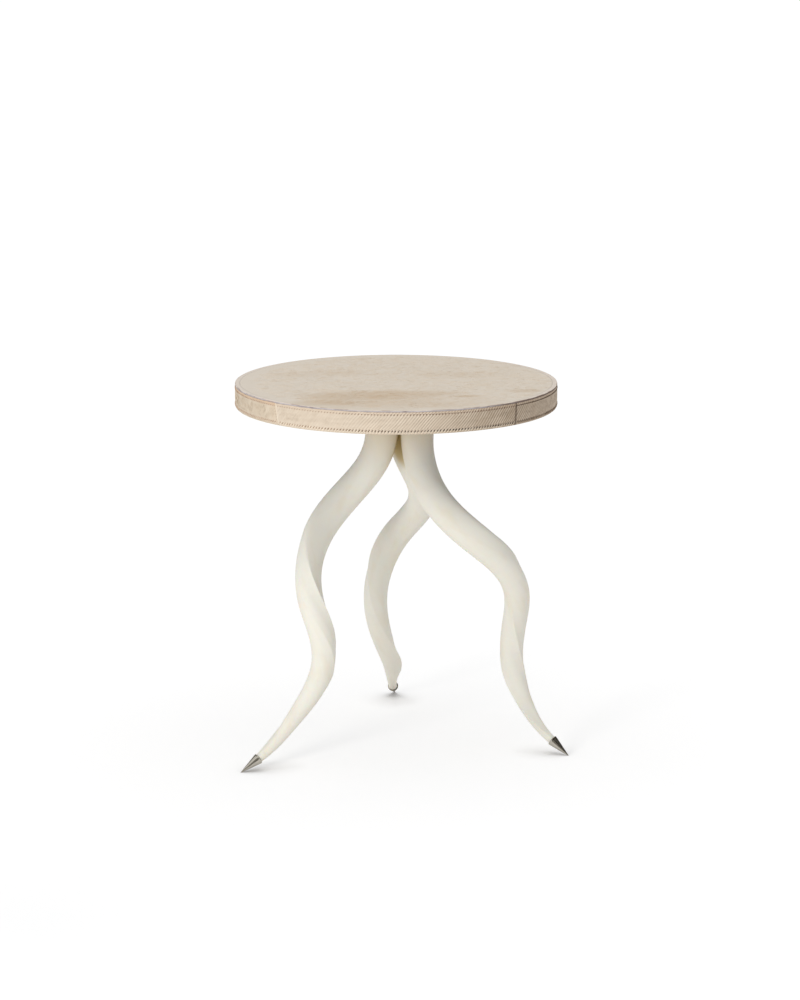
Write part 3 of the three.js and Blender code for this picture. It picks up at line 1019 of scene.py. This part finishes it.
foot = {
    "radius": 9.25 * mm,
    "length": 41 * mm,
    "rim": 1 * mm,
    "gap": 0.3 * mm,  # between the horn's end and the cone
    "wear": 1 * mm,  # ground off the point at the floor
    "ease": 0.5 * mm,
    "shoulderStep": 0.25 * mm,
    "blunt": 0.2 * mm,
    "coneRings": (0.08, 0.98, 26),  # the first and last share of the cone, and how many
    "sides": 96,
    "base": paint(186, 181, 170),
    "smeared": paint(158, 152, 138),
    "turningScale": 5,
    "smear": (9, 4),  # its size along the cone and across it, in millimetres
    "bump": 0.03 * mm,
}
# A clamped spline: its knots, and the share of the run at which each row of the horn's values belongs.
degree = 3
controlCount = len(horn["shares"])
knots = np.clip((np.arange(controlCount + degree + 1) - degree) / (controlCount - degree), 0, 1)
downs = np.array([knots[index + 1:index + 1 + degree].mean() for index in range(controlCount)])


# A B-spline's points at the shares, from rows of control values.
def spline(rows, order, ownKnots, shares):
    share = np.clip(shares, 0, 1 - 1e-9)[:, None]
    basis = ((ownKnots[:-1] <= share) & (share < ownKnots[1:])).astype(float)
    for step in range(1, order + 1):
        spread = ownKnots[step:] - ownKnots[:-step]
        overSpread = np.divide(1, spread, out=np.zeros_like(spread), where=spread > 0)
        rising = (share - ownKnots[:-step]) * overSpread
        basis = rising[:, :-1] * basis[:, :-1] + (1 - rising[:, 1:]) * basis[:, 1:]
    return basis @ rows


# The control points of a horn's middle line, in its own frame: outwards, to the right and up.
def hornRun(name):
    leg = horn["legs"][name]
    bend = np.maximum(downs - downs[1], 0) / (1 - downs[1])
    reach = (horn["shares"][:, 0] + leg["stretch"] * bend ** horn["stretchPower"]) * horn["reach"]
    sway = horn["shares"][:, 1] * horn["sway"] + leg["lean"] * bend * horn["reach"]
    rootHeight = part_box("horn_leg_" + name)[1].z
    drop = (rootHeight - foot["length"] / 2) * (downs[-1] - downs[-2])
    slope = drop / math.hypot(reach[-1] - reach[-2], sway[-1] - sway[-2], drop)
    endHeight = foot["length"] * slope - foot["wear"]
    return columns(reach, sway, rootHeight + (endHeight - rootHeight) * downs)


# The horn's middle line at the shares, and the ways outwards, to the right and along it.
def hornFrames(name, shares):
    run = hornRun(name)
    spread = (knots[degree + 1:degree + controlCount] - knots[1:controlCount])[:, None]
    along = spline(degree * (run[1:] - run[:-1]) / spread, degree - 1, knots[1:-1], shares)
    along /= np.linalg.norm(along, axis=1, keepdims=True)
    outwards = np.array([1.0, 0, 0]) - along * along[:, :1]
    outwards /= np.linalg.norm(outwards, axis=1, keepdims=True)
    return spline(run, degree, knots, shares), outwards, np.cross(along, outwards), along


# Points of a leg, turned outwards from the plate's middle and moved under its bolt.
def seated(name, points):
    bolt = middleOf("leg_washer_" + name)
    azimuth = math.atan2(bolt.y - plateMiddle.y, bolt.x - plateMiddle.x)
    turn = azimuth + math.radians(horn["legs"][name]["turn"])
    matrix = np.array(Matrix.Translation((bolt.x, bolt.y, 0)) @ Matrix.Rotation(turn, 4, "Z"))
    return points @ matrix[:3, :3].T + matrix[:3, 3]


# A round section's radius where two flat flanks run off it and meet at a ridge: 1 away from the ridge.
def flanks(angle, height):
    touch = np.arccos(1 / (1 + height))
    return 1 / np.cos(np.maximum(touch - np.abs(angle), 0))


def hornMesh(name):
    shares = np.linspace(0, 1, horn["rings"] + 1)
    points, outwards, right, along = hornFrames(name, shares)
    girth, keel = spline(horn["shares"][:, 2:], degree, knots, shares).T
    fromKeel = np.linspace(-math.pi, math.pi, horn["sides"], endpoint=False)
    soft = np.exp(horn["keelSharpness"] * (np.cos(fromKeel) - 1))
    low, high = horn["creaseFrom"]
    crease = np.clip((shares - low) / (high - low), 0, 1)[:, None]
    keel = keel[:, None]
    radius = horn["rootRadius"] * girth[:, None]
    radius = radius * ((1 + keel * soft) * (1 - crease) + flanks(fromKeel, np.maximum(keel, 0)) * crease)
    if name in horn["folds"]:
        start, end, startAngle, endAngle, height = horn["folds"][name]
        middle = np.radians(np.interp(shares, (start, end), (startAngle, endAngle)))[:, None]
        rise = [start + share for share in horn["foldRise"]]
        fall = [end + share for share in horn["foldFall"]]
        fade = np.interp(shares, rise + fall, (0, 1, 1, 0))[:, None]
        apart = (fromKeel - middle + math.pi) % (2 * math.pi) - math.pi
        radius = radius * flanks(apart, height * fade)
    angle = fromKeel + np.radians(horn["keelStart"] + 360 * horn["keelTurns"] * shares)[:, None]
    ring = np.cos(angle)[..., None] * outwards[:, None] + np.sin(angle)[..., None] * right[:, None]
    surface = points[:, None] + radius[..., None] * ring
    travelled = np.concatenate([[0], np.cumsum(np.linalg.norm(np.diff(points, axis=0), axis=1))])[:, None]
    grain = columns(travelled, np.cos(fromKeel) * radius, np.sin(fromKeel) * radius).reshape(-1, 3) / mm
    faces = loftFaces(len(shares), horn["sides"])
    return seated(name, surface.reshape(-1, 3)), faces, {"grain": grain}


hornLook = {
    "base": paint(237, 235, 225),
    "warm": paint(231, 223, 204),
    "cool": paint(229, 228, 220),
    # painted warm shade on the horns' upper ends, under the top
    "root": paint(210, 192, 162),
    "rootGapShade": paint(184, 160, 92),  # painted warm shade where the three roots face each other
    "rootGapShadeReach": 33 * mm,
    "rootGapShadeRun": (160.0, 60.0),  # where that painted shade fades out down the horn, in millimetres
    "rootShadeRun": 130.0,
    # Drawn-out noise: its size along the horn and across it, in millimetres.
    "cloud": (60, 22),
    "growth": (7, 90),
    "fibre": (40, 2.2),
    "poreScale": 700,
    "bump": 0.35 * mm,
}


def hornFinish():
    values = hornLook
    finish = Finish("horn_cast", {
        "Base Color": values["base"],
        "Specular IOR Level": 0.3,
        "Coat Weight": 0.04,
        "Coat Roughness": 0.35,
        "Subsurface Weight": 0.2,
        "Subsurface Radius": (1.0, 0.6, 0.3),
        "Subsurface Scale": 12 * mm,
    })
    travelled, sideA, sideB = finish.parts(finish.layer("grain"))

    def drawnOut(along, across):
        return finish.vector(travelled / along, sideA / across, sideB / across)

    cloud = finish.noise(drawnOut(*values["cloud"]), 1.0, 3.0, 0.55)
    growth = finish.noise(drawnOut(*values["growth"]), 1.0)
    fibre = finish.noise(drawnOut(*values["fibre"]), 1.0)
    pore = finish.noise(finish.place(), values["poreScale"], 2.0, 0.6)
    colour = finish.mix(finish.rise(cloud, 0.48, 0.72) * 0.4, values["base"], values["warm"])
    colour = finish.mix(finish.rise(growth, 0.5, 0.3) * 0.16, colour, values["cool"])
    colour = finish.mix(finish.rise(fibre, 0.6, 0.75) * 0.12, colour, values["warm"])
    # Painted warm shade near the roots, under the top.
    colour = finish.mix(finish.rise(travelled, values["rootShadeRun"], 0.0) * 0.85, colour, values["root"])
    # Painted warm shade between the roots, where they face each other.
    x, y, _ = finish.parts(finish.place())
    fromMiddle = finish.length(x - plateMiddle.x, y - plateMiddle.y)
    rootGapShaded = finish.rise(fromMiddle, values["rootGapShadeReach"], values["rootGapShadeReach"] * 0.6)
    rootGapShaded = rootGapShaded * finish.rise(travelled, *values["rootGapShadeRun"])
    colour = finish.mix(rootGapShaded * 0.85, colour, values["rootGapShade"])
    relief = finish.bump(growth * 0.55 + fibre * 0.25 + pore * 0.2, values["bump"], 0.5)
    return finish.wear(Base_Color=colour, Roughness=0.45 + cloud * 0.16, Normal=relief)


# A turned cone that screws on to the horn's end, ground flat at the floor.
def footMesh(name):
    radius, length, gap, ease = foot["radius"], foot["length"], foot["gap"], foot["ease"]
    shoulder = gap + foot["rim"]
    profile = [(0, gap), (radius - ease, gap), (radius - ease * 0.3, gap + ease * 0.3), (radius, gap + ease)]
    profile += [(radius, shoulder), (radius - ease * 0.4, shoulder + foot["shoulderStep"])]
    for share in np.linspace(*foot["coneRings"]):
        profile.append((radius * (1 - share), shoulder + (length - shoulder) * share))
    points, faces = latheMesh([*profile, (0, length - foot["blunt"])], foot["sides"])
    end, outwards, right, along = (value[0] for value in hornFrames(name, np.array([1.0])))
    grain = points[:, [2, 0, 1]] / mm
    points = end + points @ np.stack([outwards, right, along])
    points[:, 2] = np.maximum(points[:, 2], 0)
    return seated(name, points), faces, {"grain": grain}


def footFinish():
    values = foot
    finish = Finish("foot_nickel", {"Base Color": values["base"], "Metallic": 1.0})
    travelled, sideA, sideB = finish.parts(finish.layer("grain"))
    turning = finish.noise(finish.vector(travelled * values["turningScale"], 0.0, 0.0), 1.0, 3.0, 0.6)
    along, across = values["smear"]
    smear = finish.noise(finish.vector(travelled / along, sideA / across, sideB / across), 1.0, 3.0)
    colour = finish.mix(finish.rise(smear, 0.5, 0.75) * 0.3, values["base"], values["smeared"])
    relief = finish.bump(turning, values["bump"], 0.6)
    return finish.wear(Base_Color=colour, Roughness=0.1 + smear * 0.1, Normal=relief)


castFinish = hornFinish()
nickelFinish = footFinish()
for name in horn["legs"]:
    makePiece("horn_" + name, hornMesh(name), [castFinish], ["horn_leg_" + name], 60)
    makePiece("foot_" + name, footMesh(name), [nickelFinish], ["foot_tip_" + name], 35)
print("horns and feet")

# The plate's screws, with their cross recess, seen from below.
screw = {
    "headRadius": 4.5 * mm,
    "headHeight": 2.6 * mm,
    "headRings": 15,
    "shankRadius": 2.25 * mm,
    "length": 18 * mm,
    "point": 4 * mm,
    "recessReach": 2.6 * mm,
    "recessWidth": 0.75 * mm,  # half of a slot's width
    "recessDepth": 1.2 * mm,
    "sides": 64,
    "count": 6,
}


def screwMesh(place):
    length, shankRadius = screw["length"], screw["shankRadius"]
    profile = [(radius, 0.0) for radius in np.linspace(0, screw["headRadius"], screw["headRings"])]
    profile += [(shankRadius, screw["headHeight"]), (shankRadius, length - screw["point"]), (0, length)]
    points, faces = latheMesh(profile, screw["sides"])
    x, y, z = points.T
    inCross = np.minimum(np.abs(x), np.abs(y)) < screw["recessWidth"]
    depth = screw["recessDepth"] * np.sqrt(np.clip(1 - np.hypot(x, y) / screw["recessReach"], 0, 1))
    z += (z < 1e-6) * inCross * depth
    return points + np.array([place.x, place.y, underside]), faces


metal = {"dull": paint(90, 88, 84), "mottleScale": 90, "grainScale": 1400}


def metalFinish(name, base, roughness, metallic, scratch):
    finish = Finish(name, {"Base Color": base, "Metallic": metallic})
    place = finish.place()
    mottle = finish.noise(place, metal["mottleScale"], 3.0, 0.6)
    grain = finish.noise(place, metal["grainScale"], 2.0, 0.6)
    dull = finish.mix(0.35, base, metal["dull"])
    colour = finish.mix(finish.rise(mottle, 0.45, 0.75) * 0.5, base, dull)
    spread = roughness * 0.6 + mottle * roughness * 0.8
    return finish.wear(Base_Color=colour, Roughness=spread, Normal=finish.bump(grain, scratch, 0.5))


steelFinish = metalFinish("zinc_steel", paint(186, 186, 184), 0.35, 1.0, 0.03 * mm)
for number in range(1, screw["count"] + 1):
    node = f"plate_screw_{number}"
    makePiece(f"screw_{number}", screwMesh(middleOf(node)), [steelFinish], [node], 30)
print("screws")

# The lining under the top: a ring of dark woven cloth, its lower face a little uneven.
lining = {
    "base": paint(58, 52, 48),
    "thread": paint(84, 77, 71),
    "pitch": 0.9 * mm,
    "threadDepth": 0.2 * mm,
    "cloudScale": 30,
    "plateGap": 1 * mm,
    "raised": (0.45, 0.4),  # on average, and by its slow wave, in shares of the most
    "raisedMost": 0.35 * mm,
    "waveLength": 60,
    "sides": 256,
    "rings": 26,
}


def liningFinish():
    values = lining
    constants = {"Base Color": values["base"], "Roughness": 0.9, "Specular IOR Level": 0.2}
    finish = Finish("lining_cloth", constants)
    place = finish.place()
    x, y, _ = finish.parts(place)
    warp, weft = (finish.math("SINE", across / values["pitch"] * 2 * math.pi) for across in (x, y))
    weave = warp * weft * 0.5 + 0.5
    cloud = finish.noise(place, values["cloudScale"], 3.0)
    colour = finish.mix(weave * 0.6 + cloud * 0.4, values["base"], values["thread"])
    return finish.wear(Base_Color=colour, Normal=finish.bump(weave, values["threadDepth"], 0.8))


# A closed ring from the plate's hole out to the edge strips' fold.
def liningMesh():
    low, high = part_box("underside_lining")
    plateLow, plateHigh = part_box("mounting_plate")
    outer = (high.x - low.x) / 2
    hole = (plateHigh.x - plateLow.x) / 2 + lining["plateGap"]
    sides = lining["sides"]
    angle = evenAngles(sides)[::-1]
    face = [(share, low.z) for share in np.linspace(0, 1, lining["rings"])]
    share, level = np.array([(0, high.z), *face, (1, high.z)]).T
    inner = around(plateMiddle, hole, angle, 0)[:, None]
    rim = around(axis, outer, angle, 0)[:, None]
    x, y, _ = np.moveaxis(inner + (rim - inner) * share[:, None], -1, 0)
    always, byWave = lining["raised"]
    raised = waver(x / mm, y / mm, lining["waveLength"], "lining") * byWave + always
    loose = np.sin(math.pi * share) * (level < low.z + 1e-6)
    points = columns(x, y, level + loose * lining["raisedMost"] * raised).reshape(-1, 3)
    here = np.arange(len(points)).reshape(sides, -1)
    ringOn = np.roll(here, -1, 0)
    faces = columns(here, np.roll(here, -1, 1), np.roll(ringOn, -1, 1), ringOn)
    return points, faces.reshape(-1, 4).tolist()


makePiece("lining_cloth_disc", liningMesh(), [liningFinish()], ["underside_lining"], 45)
print("lining")

# The nodes that stay as packed each get their finish.
board = {
    "base": paint(206, 178, 136),
    "ply": paint(160, 122, 82),
    "streak": paint(176, 140, 98),
    "plyPitch": 2.6 * mm,
    "grainScale": (14, 160, 160),
    "bump": 0.2 * mm,
}


def boardFinish():
    values = board
    constants = {"Base Color": values["base"], "Roughness": 0.7, "Specular IOR Level": 0.3}
    finish = Finish("plywood", constants)
    x, y, z = finish.parts(finish.place())
    plies = finish.math("SINE", z / values["plyPitch"] * 2 * math.pi) * 0.5 + 0.5
    drawnOut = (wire * scale for wire, scale in zip((x, y, z), values["grainScale"]))
    grain = finish.noise(finish.vector(*drawnOut), 1.0, 3.0)
    colour = finish.mix(finish.rise(plies, 0.35, 0.65) * 0.5, values["base"], values["ply"])
    colour = finish.mix(finish.rise(grain, 0.5, 0.7) * 0.4, colour, values["streak"])
    return finish.wear(Base_Color=colour, Normal=finish.bump(grain, values["bump"], 0.5))


def dressNodes(finish, nodes):
    for node in nodes:
        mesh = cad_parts[node].data
        mesh.materials.clear()
        mesh.materials.append(finish.material)


plateFinish = metalFinish("plate_paint", paint(44, 44, 46), 0.5, 0.0, 0.08 * mm)
brassFinish = metalFinish("turned_brass", paint(196, 164, 104), 0.3, 1.0, 0.03 * mm)
dressNodes(boardFinish(), ["upper_board", "lower_board"])
dressNodes(plateFinish, ["mounting_plate"])
for name in horn["legs"]:
    dressNodes(brassFinish, ["leg_insert_" + name])
    dressNodes(steelFinish, [kind + name for kind in ("leg_bolt_", "leg_washer_", "tip_stud_")])
print("hidden parts")

# The studio: a white floor that keeps the shadows, plain light from all round, one soft lamp low in front
# of the table and to its left, and walls to both sides and behind the camera, for reflections only.
studio = {
    "skyStrength": 0.74,
    "floorColour": (0.95, 0.92, 0.88, 1),
    "floorShade": (0.5, 0.48, 0.46, 1),  # painted contact shadow, close by the feet
    "floorWhite": 1.04,  # what the open floor adds up to, its own glow included
    "shadeReach": 60 * mm,
    "shadeSamples": 8,
    "floorRadius": 40.0,
    "floorSides": 96,
    "lamp": {"azimuth": -123, "distance": 1.8, "height": 0.66, "power": 8.6, "width": 0.55, "aim": 0.38},
    "roomRadius": 9.0,
    "wallFoot": 0.02,
    # Each wall's start and end in degrees, counter-clockwise from +X, its height and its colour.
    "walls": {
        "right": (-84, 75, 11.0, (0.1, 0.095, 0.085, 1)),
        "front": (-120, -84, 7.4, (0.4, 0.39, 0.36, 1)),
        "left": (-266, -160, 8.6, (0.42, 0.42, 0.41, 1)),
    },
}


azimuth = math.radians(studio["lamp"]["azimuth"])
lampWay = Vector((math.cos(azimuth), math.sin(azimuth), 0)) * studio["lamp"]["distance"]
lampPlace = Vector((axis.x, axis.y, studio["lamp"]["height"])) + lampWay
lampSight = (Vector((axis.x, axis.y, studio["lamp"]["aim"])) - lampPlace).normalized()


# 1 for rays that see the studio itself, straight, in a reflection or through the floor, 0 for the rest.
def seenShare(finish):
    camera, glossy, through = (
        finish.add("ShaderNodeLightPath", output=name)
        for name in ("Is Camera Ray", "Is Glossy Ray", "Is Transmission Ray")
    )
    return finish.math("MAXIMUM", finish.math("MAXIMUM", camera, glossy), through)


# White where it is seen, and dimmer as a light.
class Sky(Finish):
    def __init__(self):
        world = bpy.data.worlds.new("sky")
        world.use_nodes = True
        bpy.context.scene.world = world
        self.nodes = world.node_tree.nodes
        self.links = world.node_tree.links
        background = self.nodes["Background"]
        background.inputs["Color"].default_value = (1, 1, 1, 1)
        low = studio["skyStrength"]
        self.feed(background.inputs["Strength"], seenShare(self) * (1 - low) + low)


# The floor's glow makes up for what the sky and the lamp leave short of white; its colour and glow fade close
# by the feet, a painted contact shadow.
def floorFinish():
    values = studio
    constants = {"Base Color": values["floorColour"], "Roughness": 1.0, "Specular IOR Level": 0.0}
    finish = Finish("studio_floor", constants)
    finish.feed(finish.shader.inputs["Emission Strength"], seenShare(finish))
    samples = {"samples": values["shadeSamples"]}
    clearance = finish.add("ShaderNodeAmbientOcclusion", samples, {"Distance": values["shadeReach"]}, "AO")
    openness = finish.rise(clearance, 0.4, 0.98)
    colour = finish.mix(openness, values["floorShade"], values["floorColour"])
    x, y, _ = finish.parts(finish.place())
    power, height = values["lamp"]["power"], values["lamp"]["height"]
    aside = x - lampPlace.x
    behind = y - lampPlace.y
    ahead = aside * lampSight.x + behind * lampSight.y - height * lampSight.z
    fall = finish.square(finish.square(aside) + finish.square(behind) + height**2)
    lit = values["skyStrength"] + power * height / math.pi**2 * finish.math("MAXIMUM", ahead, 0.0) / fall
    glow = finish.vector(*(values["floorWhite"] - lit * level for level in values["floorColour"][:3]))
    glow = finish.mix(openness, (0, 0, 0, 1), glow)
    clear = finish.add("ShaderNodeBsdfTransparent")
    below = finish.add("ShaderNodeNewGeometry", output="Backfacing")
    solid = Wire(finish, finish.shader.outputs[0])
    shown = finish.add("ShaderNodeMixShader", None, {0: below, 1: solid, 2: clear})
    finish.links.new(shown.socket, finish.nodes["Material Output"].inputs["Surface"])
    return finish.wear(Base_Color=colour, Emission_Color=glow)


def stagePiece(name, points, faces, finish):
    piece = addMesh(name, points, faces, [finish])
    return piece


Sky()
sides = studio["floorSides"]
rim = around(origin, studio["floorRadius"], evenAngles(sides), 0)
stagePiece("floor", rim, [list(range(sides))], floorFinish())

for name, (start, end, height, colour) in studio["walls"].items():
    angle = np.radians(np.linspace(start, end, sides))
    rows = [around(origin, studio["roomRadius"], angle, level) for level in (studio["wallFoot"], height)]
    quads = [[side + 1, side, side + sides, side + sides + 1] for side in range(sides - 1)]
    plain = Finish("studio_wall_" + name, {"Base Color": colour, "Roughness": 1.0, "Specular IOR Level": 0.0})
    wall = stagePiece("wall_" + name, np.concatenate(rows), quads, plain)
    wall.visible_camera = False
    wall.visible_diffuse = False
    wall.visible_shadow = False
    wall.visible_transmission = False

lamp = bpy.data.lights.new("lamp", "AREA")
lamp.shape = "DISK"
lamp.energy = studio["lamp"]["power"]
lamp.size = studio["lamp"]["width"]
lampHolder = addObject("lamp", lamp)
lampHolder.location = lampPlace
lampHolder.rotation_euler = lampSight.to_track_quat("-Z", "Y").to_euler()
lampHolder.visible_camera = False
lampHolder.visible_glossy = False
print("studio")

# The camera stands where the photograph was taken from: a long lens, a little above, turned a few
# degrees round to the left.
view = {
    "distance": 7.942,
    "height": 2.028,
    "pitch": 11.461,
    "yaw": 4.795,
    "sideways": 6.5 * mm,
    "lens": 173.15,
    "farthest": 100,
}
camera = addObject("camera", bpy.data.cameras.new("camera"))
camera.data.lens = view["lens"]
camera.data.clip_end = view["farthest"]
turned = Matrix.Rotation(math.radians(-view["yaw"]), 4, "Z")
stand = Vector((view["sideways"], -view["distance"], view["height"]))
camera.location = Vector((axis.x, axis.y, 0)) + turned @ stand
pitch = math.radians(view["pitch"])
sight = turned @ Vector((0, math.cos(pitch), -math.sin(pitch)))
camera.rotation_euler = sight.to_track_quat("-Z", "Y").to_euler()
bpy.context.scene.camera = camera
bpy.context.scene.view_settings.view_transform = "Standard"

print("done")
